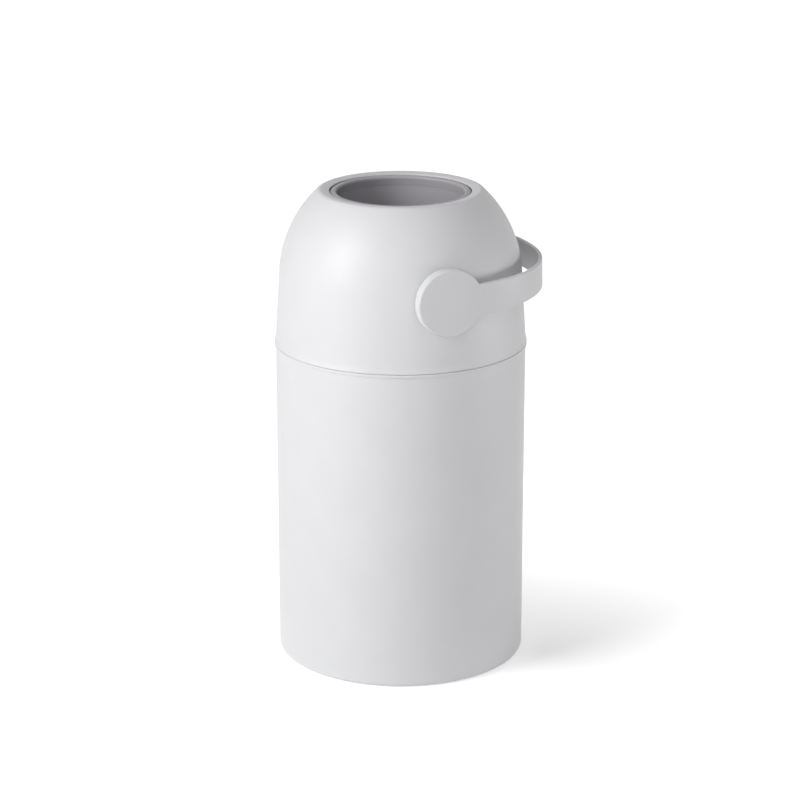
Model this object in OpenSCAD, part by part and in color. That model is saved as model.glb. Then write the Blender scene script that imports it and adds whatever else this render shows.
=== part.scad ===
// Nappy bin with a turning drum.
// The origin is on the floor, on the axis of the body, and +Z is up.
// The drum turns on a pivot along Y, and the carrying handle reaches out along +X.
// A nappy goes into the well in the drum, half a turn of the handle carries it over,
// and the sliding piston in the well pushes it out into the bag space below.

/* [Body] */
// Outside diameter of the sheet steel body
body_d = 280.5; // [270:0.5:340]
// Height of the body's top edge above the floor
body_h = 362.2; // [290:0.2:440]
// Thickness of the body sheet
sheet_t = 1; // [0.8:0.1:1.4]
// Radius of the rolled bottom edge
edge_r = 5; // [4:0.5:8]
// Height of the rolled edge above the floor
foot_h = 1.5; // [1:0.5:3]
// Width of the turned-in rim under the body
turn_in = 9; // [7:0.5:12]
// Width of the rubber foot ring
foot_w = 9; // [6:0.5:14]

/* [Collar and bag ring] */
// Height of the collar band that shows between the body and the head
collar_t = 3.6; // [3:0.2:6]
// How far the band stands out from the body
band_out = 1.4; // [0.8:0.1:2]
// Height of the spigot that the head drops over
spigot_h = 12; // [10:0.5:16]
// Depth of the collar inside the body
collar_depth = 14; // [10:0.5:20]
// Wall of the collar
collar_wall = 3.2; // [2.8:0.2:4]
// Width of the ledge that carries the bag ring
ledge_w = 10; // [8:0.5:14]
// Height of the bag ring
bag_ring_h = 15; // [10:0.5:18]

/* [Head] */
// Wall of the moulded head
head_wall = 2.4; // [2:0.1:3]
// Height of the flared lip around the foot of the head
lip_h = 6.2; // [4:0.2:9]
// Height of the drum's pivot above the foot of the head
pivot_rise = 79.2; // [76:0.2:96]
// How much smaller the radius of the dome is than that of the body
dome_inset = 4.45; // [3.5:0.05:6]
// Height of the dome's centre below the pivot
dome_drop = 7; // [5:0.5:9]
// Rounding of the crown around the mouth
crown_f = 7; // [4:0.5:9]
// Fall of the crown towards the mouth, in millimetres for each millimetre
crown_fall = 0.16; // [0.08:0.01:0.24]
// Thickness of the crown at the edge of the mouth
lip_t = 1.3; // [1:0.1:2]

/* [Drum and well] */
// Room between the dome and the drum, for the pivots
drum_room = 16.4; // [15.6:0.2:22]
// Radius of the rim around the well
rim_r = 77.8; // [66:0.2:88]
// Width of the rim
rim_w = 6.8; // [5.4:0.2:8]
// Gap around the rim in the mouth of the head
mouth_gap = 1.2; // [1:0.1:2]
// Wall of the drum's mouldings
drum_wall = 2.4; // [2:0.1:3]
// Radius of the pivot stubs on the handle
stub_r = 10; // [8:0.5:12]
// Number of screws that hold the drum's housing in the head
housing_screw_n = 6; // [6,10,14]

/* [Piston] */
// Height of the piston
piston_h = 16; // [14:0.5:24]
// Height of the wiper between the piston's plates
wiper_h = 4; // [3:0.5:6]

/* [Handle] */
// Radius of the round hubs
hub_r = 37.4; // [30:0.2:42]
// Thickness of the hubs
hub_t = 11; // [9:0.5:14]
// Rounding around the face of the hubs
hub_f = 2.5; // [1:0.5:4]
// Thickness of the strap
strap_t = 4.5; // [3.5:0.1:6]
// Height of the strap beside the hubs
strap_w = 34.8; // [31:0.2:44]
// Height of the strap at its far end
strap_end_w = 31; // [24:0.5:34]
// Rise of the strap towards its far end, in degrees
strap_rise = 1.5; // [0:0.5:3]
// Room for the fingers between the dome and the strap
finger_room = 14.6; // [10:0.2:40]
// Squareness of the strap's bow: 2 is an ellipse
bow_n = 2.2; // [2:0.1:2.6]

/* [Hidden] */
$fn = 128;

// Clearances
fit = 0.05;          // pieces that are pressed or clipped together
bush_fit = 0.06;     // running fit of the stubs in their bushes
slip = 0.5;          // head over the spigot, and flange in the head
play = 0.5;          // piston in the well
seal_gap = 0.35;     // seals around the drum and in their seats
drum_gap = 1;        // lips of the mouth and the outlet around the drum

// Body
body_r = body_d / 2;
body_in = body_r - sheet_t;
turn_in_r = body_r - turn_in;
pan_z = foot_h + sheet_t;
pan_skirt_h = 12;
pan_rise = 4;
bead_n = 3;
bead_w = 8;
foot_r = turn_in_r - 0.5;

// Collar
spigot_gap = 1.25;
head_z = body_h + collar_t;
spigot_z = head_z + spigot_h;
spigot_r = body_r - head_wall - spigot_gap;
collar_in = spigot_r - collar_wall;
ledge_t = 2.5;
ledge_z = body_h - collar_depth + ledge_t;
ledge_r = collar_in - ledge_w;
cord_r = 1.3;
cord_z = head_z + 5.5;
cord_ring_r = spigot_r - 0.4;

// Bag ring
bag_wall = 2;
bag_flange_w = 4.6;
bag_out = collar_in - 0.8;
bag_r = bag_out - bag_flange_w;
tab_w = 34;
tab_l = 9;

// Head
lip_r = body_r + band_out;
lip_chamfer = 0.6;
skirt_low_z = head_z + lip_h;
skirt_low_r = body_r;
pivot_z = head_z + pivot_rise;
dome_r = body_r - dome_inset;
dome_z = pivot_z - dome_drop;
dome_join = 8.7;
skirt_high_z = dome_z + dome_join;
skirt_high_r = sqrt(pow(dome_r, 2) - pow(dome_join, 2));
function skirt_r(z) =
    skirt_low_r + (skirt_high_r - skirt_low_r) * (z - skirt_low_z) / (skirt_high_z - skirt_low_z);

// Drum. Heights named rise are measured from the pivot.
drum_r = dome_r - drum_room;
rim_rise = sqrt(pow(drum_r, 2) - pow(rim_r, 2));
rim_base = 2.6;
tube_rise = rim_rise - rim_base;
well_r = rim_r - rim_w + 1.6;
well_wall = 2.4;
well_mouth_r = rim_r - rim_w + 0.2;
well_cone_h = 8;
web_r = well_r + well_wall + 2;
web_rise = 42;
web_t = 2;
rim_lip = 1.4;       // rounding at the outside of the rim
rim_lead = 2.6;      // rounding at the inside of the rim
rim_fold_h = 4;      // fold of the rim outside the tube
mouth_r = rim_r + mouth_gap;
lip_rise = sqrt(pow(drum_r + drum_gap, 2) - pow(mouth_r, 2));
seat_rise = lip_rise - 2.9;
seat_r = sqrt(pow(drum_r + drum_gap, 2) - pow(seat_rise, 2));
seal_r = mouth_r + 12;
seal_h = 6.4;
seal_rib_t = 2;

// Crown: a circle of radius crown_f that touches the dome from inside and the sloping top
crown_top = lip_rise + lip_t;
slope_len = sqrt(1 + pow(crown_fall, 2));
crown_b = crown_top - crown_fall * mouth_r - crown_f * slope_len + dome_drop;
crown_d = pow(crown_fall * crown_b, 2)
    - pow(slope_len, 2) * (pow(crown_b, 2) - pow(dome_r - crown_f, 2));
crown_lap = 0.02;    // the rounding crosses the dome and the top, and doesn't only touch them
crown_x = (sqrt(crown_d) - crown_fall * crown_b) / pow(slope_len, 2);
crown_y = crown_fall * crown_x + crown_b - dome_drop;
crown_dir = [crown_x, crown_y + dome_drop] / (dome_r - crown_f);
crown_on_dome = [crown_x, crown_y] + crown_f * crown_dir;
crown_on_top = [crown_x, crown_y] + crown_f * [-crown_fall, 1] / slope_len;

// Handle hubs, bosses and bushes. Distances named out are measured from the axis of the body.
hub_clear = 0.5;
hub_back = skirt_r(pivot_z - hub_r) + hub_clear;
hub_out = hub_back + hub_t;
hub_back_f = 0.8;
boss_r = 20;
boss_len = 14;
boss_out = hub_back - 0.5;
boss_in = boss_out - boss_len;
bush_wall = 3;
bush_r = stub_r + bush_wall;
bush_flange_r = bush_r + 5;
bush_flange_t = 2.4;
trunnion_t = 4;
trunnion_play = 2.1;
flat_out = boss_in - bush_flange_t - trunnion_play - trunnion_t;
trunnion_out = flat_out + trunnion_t;
trunnion_r = 26;
trunnion_hub_r = 12;
trunnion_hub_in = flat_out - 9.5;
key_w = 12;
key_l = 12;
key_in = trunnion_out - 9.4;
key_gap = 0.1;

// Stops for the half turn: a lug on each trunnion runs between two ribs in the head
lug_r = trunnion_r - 0.1;
lug_in_r = 21.2;
lug_half_angle = 12;
lug_out = trunnion_out + 3.2;
stop_w = 5;
stop_angle = 19.6;
stop_in = trunnion_out + 0.6;

// Drum housing
cup_room = 3;
cup_r = drum_r + cup_room;
cup_wall = 2.4;
flange_t = 2.6;
flange_z = spigot_z + 15.2;
flange_r = skirt_r(flange_z) - head_wall - slip;
flange_drop = 6;
cup_foot_rise = 12;
gusset_t = 2;
gusset_n = 18;

// Screws
screw_r = 2;
screw_head_r = 4.2;
screw_head_h = 3;
screw_len = 16;
slot = [1, 5, 1.3];
housing_screw_r = flange_r - 9;
screw_boss_r = 4.5;
screw_boss_h = 32;
post_rib_t = 2.4;
small_screw_r = 1.6;
small_head_r = 3.2;
small_head_h = 1.8;
small_screw_len = 9;
small_slot = [0.8, 3.6, 1.1];
small_boss_r = 3.8;
trunnion_screw_r = 19.4;

// Piston
piston_r = well_r - play;
piston_end_r = well_mouth_r - 0.45;
piston_rest = 0.8;
piston_z = pivot_z - tube_rise + piston_rest;
plate_h = (piston_h - wiper_h) / 2;
plate_t = 2.2;
plate_rim = 5;
dish_deep = 1.2;
spoke_n = 8;
spoke_t = 2;
post_r = 9;
post_wall = 3;

// Handle strap, as a bow seen from above and a taper seen from the side
bow_shift = 10;
bow_reach = dome_r + finger_room + strap_t;
bow_steps = 40;
strap_f = 4;
strap_fall = (strap_w - strap_end_w) / 2 / (bow_reach - hub_r);
strap_len = sqrt(1 + pow(strap_fall, 2));
strap_a = strap_end_w / 2 + strap_fall * bow_reach + strap_f * strap_len;
strap_root = pow(strap_fall * strap_a, 2)
    - pow(strap_len, 2) * (pow(strap_a, 2) - pow(hub_r + strap_f, 2));
strap_fx = (strap_fall * strap_a + sqrt(strap_root)) / pow(strap_len, 2);
strap_fy = strap_a - strap_fall * strap_fx;

white = "#e9e9ea";
grey = "#a7a4aa";
dark = "#5a5a5e";
steel = "#c9cacc";

// ---- helpers ----

module at_pivot() {
    translate([0, 0, pivot_z]) children();
}

// Turns a piece that is built along +Z so that it points out along -Y from the pivot
module front_side() {
    at_pivot() rotate([90, 0, 0]) children();
}

module rear_side() {
    mirror([0, 1, 0]) front_side() children();
}

// Slot for a cross driver, as [width, length, depth] from the end face at zero
module cross_slot(size) {
    for (a = [0, 90]) rotate([0, 0, a]) cube([size[0], size[1], 2 * size[2]], center = true);
}

module tube(r_out, r_in, z_low, z_high) {
    rotate_extrude() translate([r_in, z_low]) square([r_out - r_in, z_high - z_low]);
}

// ---- body ----

module body_shell() {
    color(white) rotate_extrude() difference() {
        union() {
            translate([0, foot_h + edge_r]) square([body_r, body_h - foot_h - edge_r]);
            translate([0, foot_h]) square([body_r - edge_r, edge_r]);
            translate([body_r - edge_r, foot_h + edge_r]) circle(edge_r);
        }
        translate([0, foot_h + edge_r]) square([body_in, body_h]);
        translate([0, pan_z]) square([body_r - edge_r, edge_r]);
        translate([body_r - edge_r, foot_h + edge_r]) circle(edge_r - sheet_t);
        square([turn_in_r, foot_h + edge_r]);
    }
}

// Pressed steel pan with a standing rim, a raised middle and ring beads
module base_pan() {
    rim = body_in - fit;
    raised_r = foot_r - foot_w - 6;
    color(steel) rotate_extrude() difference() {
        union() {
            polygon([
                [0, pan_z], [body_r - edge_r - 1, pan_z], [rim, pan_z + edge_r - sheet_t + 1],
                [rim, pan_z + pan_skirt_h], [rim - sheet_t, pan_z + pan_skirt_h],
                [rim - sheet_t, pan_z + edge_r - sheet_t + 1.4],
                [body_r - edge_r - 1.4, pan_z + sheet_t],
                [raised_r + 3, pan_z + sheet_t], [raised_r, pan_z + pan_rise + sheet_t],
                [0, pan_z + pan_rise + sheet_t]]);
            for (i = [1 : bead_n])
                translate([i * raised_r / (bead_n + 1), pan_z + pan_rise + sheet_t / 2])
                    circle(bead_w / 4);
        }
        polygon([
            [-1, pan_z - 1], [raised_r + 2.6, pan_z - 1], [raised_r + 2.6, pan_z],
            [raised_r - 0.4, pan_z + pan_rise], [-1, pan_z + pan_rise]]);
    }
}

module foot_ring() {
    color(dark) rotate_extrude() polygon([
        [foot_r - foot_w, 0.6], [foot_r - foot_w + 0.6, 0], [foot_r - 0.6, 0], [foot_r, 0.6],
        [foot_r, pan_z], [foot_r - foot_w, pan_z]]);
}

module collar_ring() {
    deep = body_h - collar_depth;
    color(white) rotate_extrude() difference() {
        polygon([
            [collar_in, deep + ledge_t], [ledge_r, deep + ledge_t], [ledge_r, deep],
            [body_in - fit - 1, deep], [body_in - fit, deep + 1], [body_in - fit, body_h],
            [lip_r - lip_chamfer, body_h], [lip_r, body_h + lip_chamfer],
            [lip_r, head_z - lip_chamfer], [lip_r - lip_chamfer, head_z],
            [spigot_r, head_z], [spigot_r, spigot_z - 2], [spigot_r - 1.2, spigot_z],
            [collar_in, spigot_z]]);
        translate([cord_ring_r, cord_z]) circle(cord_r + fit);
    }
}

module collar_seal() {
    color(dark) rotate_extrude() translate([cord_ring_r, cord_z]) circle(cord_r);
}

module bag_ring() {
    top = ledge_z + bag_ring_h;
    color(grey) union() {
        rotate_extrude() polygon([
            [bag_r, ledge_z + 0.6], [bag_r + 0.6, ledge_z], [bag_r + bag_wall, ledge_z],
            [bag_r + bag_wall, top - bag_wall], [bag_out - 0.6, top - bag_wall],
            [bag_out, top - bag_wall + 0.6], [bag_out, top - 0.6], [bag_out - 0.6, top],
            [bag_r + 0.8, top], [bag_r, top - 0.8]]);
        for (side = [0, 180]) rotate([0, 0, side]) intersection() {
            translate([bag_r - tab_l, -tab_w / 2, top - bag_wall])
                cube([tab_l + bag_wall, tab_w, bag_wall]);
            difference() {
                translate([bag_r - tab_l + tab_w, 0, 0]) cylinder(r = tab_w, h = top + 1);
                cylinder(r = bag_r - tab_l, h = top + 1);
            }
        }
    }
}

// ---- head ----

module head_section() {
    far = 2 * dome_r;
    polygon([
        [0, head_z], [lip_r - lip_chamfer, head_z], [lip_r, head_z + lip_chamfer],
        [skirt_low_r, skirt_low_z], [skirt_high_r, skirt_high_z], [0, skirt_high_z]]);
    // the dome, up to the line from its centre through the centre of the crown's rounding
    translate([0, dome_z]) intersection() {
        circle(dome_r);
        polygon([[0, 0], [far, 0], far * crown_dir]);
    }
    translate([0, pivot_z]) {
        translate([crown_x, crown_y]) circle(crown_f + crown_lap);
        polygon([
            [0, -dome_drop], crown_on_dome, [crown_x, crown_y], crown_on_top,
            [0, crown_top - crown_fall * mouth_r]]);
    }
}

module head_cavity() {
    in_low_r = skirt_low_r - head_wall;
    in_high_r = skirt_high_r - head_wall;
    polygon([
        [0, head_z - 1], [in_low_r + 0.8, head_z - 1], [in_low_r + 0.8, head_z],
        [in_low_r, head_z + 0.8], [in_low_r, skirt_low_z], [in_high_r, skirt_high_z],
        [0, skirt_high_z]]);
    intersection() {
        translate([0, dome_z]) circle(dome_r - head_wall);
        translate([0, skirt_high_z - 1]) square([dome_r, pivot_z + seat_rise - skirt_high_z + 1]);
    }
    translate([0, pivot_z]) polygon([
        [0, 0], [seat_r, 0], [seat_r, seat_rise], [mouth_r, lip_rise],
        [mouth_r, crown_top + 2], [0, crown_top + 2]]);
}

// Screw posts that hang from ribs on the inside of the skirt
module screw_posts() {
    for (i = [0 : housing_screw_n - 1]) rotate([0, 0, i * 360 / housing_screw_n]) {
        translate([housing_screw_r, 0, flange_z]) cylinder(r = screw_boss_r, h = screw_boss_h);
        translate([housing_screw_r, -post_rib_t / 2, flange_z + 0.4])
            cube([body_r - housing_screw_r, post_rib_t, screw_boss_h - 0.4]);
    }
}

module stop_ribs() {
    for (turn = [stop_angle, 180 - stop_angle]) rotate([0, 0, -turn])
        translate([lug_in_r - 0.6, -stop_w / 2, stop_in])
            cube([lug_r - lug_in_r + 1.8, stop_w, boss_out - stop_in]);
}

module hub_boss() {
    translate([0, 0, boss_in]) cylinder(r = boss_r, h = boss_len);
}

module bush_bore() {
    translate([0, 0, boss_in - 1]) cylinder(r = bush_r, h = boss_len + 2);
}

module head_shell() {
    color(white) difference() {
        union() {
            rotate_extrude() difference() {
                head_section();
                head_cavity();
            }
            intersection() {
                rotate_extrude() head_section();
                union() {
                    screw_posts();
                    front_side() stop_ribs();
                    rear_side() stop_ribs();
                }
            }
            front_side() hub_boss();
            rear_side() hub_boss();
            at_pivot() tube(seal_r + seal_gap + seal_rib_t, seal_r + seal_gap,
                seat_rise - seal_h, seat_rise + 0.2);
        }
        front_side() bush_bore();
        rear_side() bush_bore();
        for (i = [0 : housing_screw_n - 1]) rotate([0, 0, i * 360 / housing_screw_n])
            translate([housing_screw_r, 0, flange_z - 1])
                cylinder(r = screw_r + fit, h = screw_len + 2);
    }
}

// Cup around the lower half of the drum, with the outlet in its floor
module housing_section() {
    flange_rise = flange_z - pivot_z;
    foot_r_out = seal_r + seal_gap + cup_wall;
    difference() {
        union() {
            intersection() {
                circle(cup_r + cup_wall);
                translate([0, -crown_top]) square([cup_r + cup_wall, crown_top + flange_rise]);
            }
            translate([0, -crown_top]) square([foot_r_out, cup_foot_rise]);
            translate([0, flange_rise - flange_t]) square([flange_r, flange_t]);
            translate([flange_r - cup_wall, flange_rise - flange_drop])
                square([cup_wall, flange_drop]);
        }
        intersection() {
            circle(cup_r);
            translate([0, -seat_rise]) square([cup_r, seat_rise]);
        }
        translate([0, -seat_rise]) square([seal_r + seal_gap, seal_h + 3]);
        polygon([
            [0, 0], [seat_r, 0], [seat_r, -seat_rise], [mouth_r, -lip_rise],
            [mouth_r, -crown_top - 1], [0, -crown_top - 1]]);
    }
}

module housing_gussets() {
    low = crown_top - cup_foot_rise - 4;
    low_r = sqrt(pow(cup_r + cup_wall / 2, 2) - pow(low, 2));
    flange_rise = flange_z - pivot_z;
    for (i = [0 : gusset_n - 1]) rotate([0, 0, (i + 0.5) * 360 / gusset_n])
        rotate([90, 0, 0]) linear_extrude(gusset_t, center = true) polygon([
            [low_r, -low], [flange_r - cup_wall - 1, flange_rise - flange_drop],
            [flange_r - cup_wall - 1, flange_rise - 0.5], [low_r, flange_rise - 0.5]]);
}

module drum_housing() {
    color(white) difference() {
        at_pivot() union() {
            rotate_extrude() housing_section();
            difference() {
                housing_gussets();
                sphere(cup_r + 0.5);
            }
        }
        for (i = [0 : housing_screw_n - 1]) rotate([0, 0, i * 360 / housing_screw_n])
            translate([housing_screw_r, 0, flange_z - flange_t - 1])
                cylinder(r = screw_r + 0.3, h = flange_t + 2);
    }
}

module housing_screws() {
    color(steel) for (i = [0 : housing_screw_n - 1]) rotate([0, 0, i * 360 / housing_screw_n])
        translate([housing_screw_r, 0, flange_z - flange_t]) difference() {
            union() {
                translate([0, 0, -screw_head_h]) cylinder(r = screw_head_r, h = screw_head_h);
                cylinder(r = screw_r, h = screw_len);
            }
            translate([0, 0, -screw_head_h]) cross_slot(slot);
        }
}

// Soft ring around the mouth, with a face that follows the drum
module seal_ring() {
    color(dark) rotate_extrude() difference() {
        translate([mouth_r, seat_rise - seal_h]) square([seal_r - mouth_r, seal_h - fit]);
        circle(drum_r + seal_gap);
        translate([seal_r, seat_rise - seal_h]) rotate(45) square(2, center = true);
    }
}

module mouth_seal() {
    at_pivot() seal_ring();
}

module outlet_seal() {
    at_pivot() mirror([0, 0, 1]) seal_ring();
}

module bush() {
    color(grey) difference() {
        union() {
            translate([0, 0, boss_in - bush_flange_t])
                cylinder(r = bush_flange_r, h = bush_flange_t);
            translate([0, 0, boss_in]) cylinder(r = bush_r - fit, h = boss_len);
        }
        translate([0, 0, boss_in - bush_flange_t - 1])
            cylinder(r = stub_r + bush_fit, h = boss_len + bush_flange_t + 2);
    }
}

module bush_front() {
    front_side() bush();
}

module bush_rear() {
    rear_side() bush();
}

// ---- drum ----

module well_tube() {
    out_r = well_r + well_wall;
    color(grey) at_pivot() rotate_extrude() polygon([
        [well_mouth_r, -tube_rise], [out_r, -tube_rise], [out_r, tube_rise],
        [well_mouth_r, tube_rise], [well_r, tube_rise - well_cone_h],
        [well_r, well_cone_h - tube_rise]]);
}

// Rounded rim that caps the tube and is pressed over its end
module rim_ring() {
    in_r = rim_r - rim_w;
    out_c = [rim_r - rim_lip, rim_rise - rim_lip / 2];
    in_c = [in_r + rim_lead, rim_rise - 1.2];
    color(grey) rotate_extrude() union() {
        polygon([
            [in_r, tube_rise], [rim_r, tube_rise], [rim_r, out_c[1]], out_c + [0, rim_lip],
            in_c + [0, rim_lead], in_c, [in_r, in_c[1]]]);
        translate(out_c) circle(rim_lip);
        intersection() {
            translate(in_c) circle(rim_lead);
            translate([in_r, tube_rise]) square([rim_w, rim_w]);
        }
        translate([well_r + well_wall + fit, tube_rise - rim_fold_h])
            square([web_r - well_r - well_wall - 2 * fit, rim_fold_h + 0.2]);
    }
}

module rim_ring_top() {
    at_pivot() rim_ring();
}

module rim_ring_bottom() {
    at_pivot() mirror([0, 0, 1]) rim_ring();
}

// A block around the pivot, cut down to one half of the drum
module half_block(flat, rise) {
    translate([fit, -flat, -rise]) cube([drum_r + 1, 2 * flat, 2 * rise]);
}

module trunnion_screw_places() {
    for (a = [45 : 90 : 315]) rotate([0, 0, a]) translate([trunnion_screw_r, 0, 0]) children();
}

module drum_half() {
    inner_r = drum_r - drum_wall;
    color(grey) difference() {
        union() {
            difference() {
                intersection() {
                    sphere(drum_r);
                    half_block(flat_out, tube_rise);
                }
                intersection() {
                    sphere(inner_r);
                    translate([-drum_r, drum_wall - flat_out, drum_wall - tube_rise])
                        cube([2 * drum_r, 2 * (flat_out - drum_wall), 2 * (tube_rise - drum_wall)]);
                }
            }
            // webs that steady the shell on the tube
            intersection() {
                sphere(inner_r + 0.4);
                half_block(flat_out - 0.4, tube_rise);
                union() for (rise = [-web_rise - web_t, web_rise]) translate([0, 0, rise])
                    cylinder(r = drum_r, h = web_t);
            }
            for (side = [0, 1]) mirror([0, side, 0]) rotate([90, 0, 0]) intersection() {
                trunnion_screw_places() translate([0, 0, flat_out - small_screw_len - 1])
                    cylinder(r = small_boss_r, h = small_screw_len);
                translate([fit, -50, 0]) cube([60, 100, flat_out]);
            }
        }
        translate([0, 0, -drum_r]) cylinder(r = web_r, h = 2 * drum_r);
        for (side = [0, 1]) mirror([0, side, 0]) rotate([90, 0, 0]) {
            cylinder(r = trunnion_hub_r + fit, h = drum_r);
            trunnion_screw_places() translate([0, 0, flat_out - small_screw_len])
                cylinder(r = small_screw_r + fit, h = small_screw_len + 2);
        }
    }
}

module drum_shell_right() {
    at_pivot() drum_half();
}

module drum_shell_left() {
    at_pivot() mirror([1, 0, 0]) drum_half();
}

// Flanged driver that joins the drum to the square key on the handle's stub
module trunnion() {
    color(white) difference() {
        union() {
            translate([0, 0, flat_out]) cylinder(r = trunnion_r, h = trunnion_t);
            translate([0, 0, trunnion_hub_in])
                cylinder(r = trunnion_hub_r, h = flat_out - trunnion_hub_in);
            intersection() {
                difference() {
                    translate([0, 0, trunnion_out - 0.2])
                        cylinder(r = lug_r, h = lug_out - trunnion_out + 0.2);
                    cylinder(r = lug_in_r, h = lug_out + 1);
                }
                linear_extrude(lug_out + 1) polygon([
                    [0, 0], 40 * [1, tan(lug_half_angle)], 40 * [1, -tan(lug_half_angle)]]);
            }
        }
        translate([-key_w / 2 - key_gap, -key_w / 2 - key_gap, key_in - 0.2])
            cube([key_w + 2 * key_gap, key_w + 2 * key_gap, 20]);
        translate([0, 0, trunnion_hub_in - 1]) cylinder(r = screw_r + 0.3, h = 20);
        trunnion_screw_places() {
            translate([0, 0, flat_out - 1]) cylinder(r = small_screw_r + 0.2, h = 10);
            translate([0, 0, trunnion_out - small_head_h - 0.1])
                cylinder(r1 = small_screw_r + 0.2, r2 = small_head_r + 0.2, h = small_head_h + 0.1);
            translate([0, 0, trunnion_out]) cylinder(r = small_head_r + 0.3, h = 5);
        }
    }
}

module trunnion_front() {
    front_side() trunnion();
}

module trunnion_rear() {
    rear_side() trunnion();
}

module trunnion_screw_set() {
    trunnion_screw_places() difference() {
        union() {
            translate([0, 0, trunnion_out - small_head_h])
                cylinder(r1 = small_screw_r, r2 = small_head_r, h = small_head_h - 0.05);
            translate([0, 0, trunnion_out - small_screw_len - trunnion_t + 1])
                cylinder(r = small_screw_r, h = small_screw_len + trunnion_t - small_head_h - 0.9);
        }
        translate([0, 0, trunnion_out]) cross_slot(small_slot);
    }
}

module trunnion_screws() {
    color(steel) {
        front_side() trunnion_screw_set();
        rear_side() trunnion_screw_set();
    }
}

// ---- handle ----

module hub() {
    difference() {
        union() {
            rotate_extrude() {
                translate([0, hub_back + hub_back_f]) square([hub_r, hub_t - hub_f - hub_back_f]);
                polygon([
                    [0, hub_back], [hub_r - hub_back_f, hub_back], [hub_r, hub_back + hub_back_f],
                    [0, hub_back + hub_back_f]]);
                translate([0, hub_out - hub_f]) square([hub_r - hub_f, hub_f]);
                intersection() {
                    translate([hub_r - hub_f, hub_out - hub_f]) circle(hub_f);
                    translate([0, hub_out - hub_f]) square([hub_r, hub_f]);
                }
            }
            translate([0, 0, trunnion_out]) cylinder(r = stub_r, h = hub_back - trunnion_out + 1);
            translate([-key_w / 2, -key_w / 2, key_in]) cube([key_w, key_w, key_l]);
        }
        translate([0, 0, key_in - 1]) cylinder(r = screw_r + fit, h = 20);
    }
}

function bow(reach, half, steps) = [
    for (i = [0 : steps]) let (t = 90 - 180 * i / steps, s = sin(t))
        [bow_shift + (reach - bow_shift) * pow(max(cos(t), 0), 2 / bow_n),
            half * sign(s) * pow(abs(s), 2 / bow_n)]];

module bow_plan() {
    outer = bow(bow_reach, hub_out, bow_steps);
    inner = bow(bow_reach - strap_t, hub_out - strap_t, bow_steps);
    polygon(concat(outer, [for (i = [bow_steps : -1 : 0]) inner[i]]));
}

// Everything behind the strap's outer face, so that the hubs end flush with it
module bow_inside() {
    outer = bow(bow_reach, hub_out, bow_steps);
    first = outer[1] - outer[0];
    lead = outer[0] + first / first[1];
    polygon(concat(
        [[-hub_r - 1, lead[1]], lead], [for (i = [1 : bow_steps - 1]) outer[i]],
        [[lead[0], -lead[1]], [-hub_r - 1, -lead[1]]]));
}

// Upper half of the strap seen from the side, with a fillet into the hub
module strap_half() {
    hub_side = atan2(strap_fy, strap_fx) + 180;
    strap_side = 270 - atan(strap_fall);
    fillet = [for (i = [0 : 8]) let (a = hub_side + (strap_side - hub_side) * i / 8)
        [strap_fx, strap_fy] + strap_f * [cos(a), sin(a)]];
    polygon(concat([[0, -1], [0, 1]], fillet, [
        [bow_reach + 1, strap_end_w / 2 - strap_fall], [bow_reach + 1, -1]]));
}

module strap() {
    intersection() {
        translate([0, 0, -strap_w]) linear_extrude(2 * strap_w) bow_plan();
        rotate([90, 0, 0]) linear_extrude(4 * hub_out, center = true) union() {
            strap_half();
            mirror([0, 1]) strap_half();
        }
    }
}

module handle() {
    color(white) union() {
        intersection() {
            union() {
                front_side() hub();
                rear_side() hub();
            }
            at_pivot() rotate([0, -strap_rise, 0])
                translate([0, 0, -hub_r - 1]) linear_extrude(2 * hub_r + 2) bow_inside();
        }
        at_pivot() rotate([0, -strap_rise, 0]) strap();
    }
}

module handle_screw() {
    difference() {
        union() {
            translate([0, 0, trunnion_hub_in - screw_head_h])
                cylinder(r = screw_head_r, h = screw_head_h);
            translate([0, 0, trunnion_hub_in - 1]) cylinder(r = screw_r, h = screw_len + 1);
        }
        translate([0, 0, trunnion_hub_in - screw_head_h]) cross_slot(slot);
    }
}

module handle_screws() {
    color(steel) {
        front_side() handle_screw();
        rear_side() handle_screw();
    }
}

// ---- piston ----

// One plate, built with its outer face down at zero
module piston_plate() {
    color(grey) difference() {
        union() {
            rotate_extrude() difference() {
                polygon([
                    [0, 0], [piston_end_r, 0], [piston_r - 0.2, plate_h - 1],
                    [piston_r - 0.2, plate_h], [0, plate_h]]);
                translate([0, dish_deep + plate_t])
                    square([piston_end_r - plate_rim, plate_h]);
                polygon([
                    [-1, -1], [piston_end_r - plate_rim, -1], [piston_end_r - plate_rim, 0],
                    [piston_end_r - plate_rim - dish_deep, dish_deep], [-1, dish_deep]]);
            }
            translate([0, 0, dish_deep]) cylinder(r = post_r, h = piston_h / 2 - dish_deep);
            for (i = [0 : spoke_n - 1]) rotate([0, 0, i * 360 / spoke_n])
                translate([0, -spoke_t / 2, dish_deep + 0.5])
                    cube([piston_end_r - plate_rim + 1, spoke_t, plate_h - dish_deep - 1]);
        }
        translate([0, 0, dish_deep + plate_t])
            cylinder(r = post_r - post_wall, h = piston_h);
    }
}

module piston_plate_bottom() {
    translate([0, 0, piston_z]) piston_plate();
}

module piston_plate_top() {
    translate([0, 0, piston_z + piston_h]) mirror([0, 0, 1]) piston_plate();
}

module piston_wiper() {
    mid = piston_z + piston_h / 2;
    color(dark) rotate_extrude() polygon([
        [piston_end_r - plate_rim, mid - wiper_h / 2], [piston_r - 0.6, mid - wiper_h / 2],
        [piston_r + 0.1, mid - wiper_h / 2 + 0.8], [piston_r - 0.5, mid],
        [piston_r + 0.1, mid + wiper_h / 2 - 0.8], [piston_r - 0.6, mid + wiper_h / 2],
        [piston_end_r - plate_rim, mid + wiper_h / 2]]);
}

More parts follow.
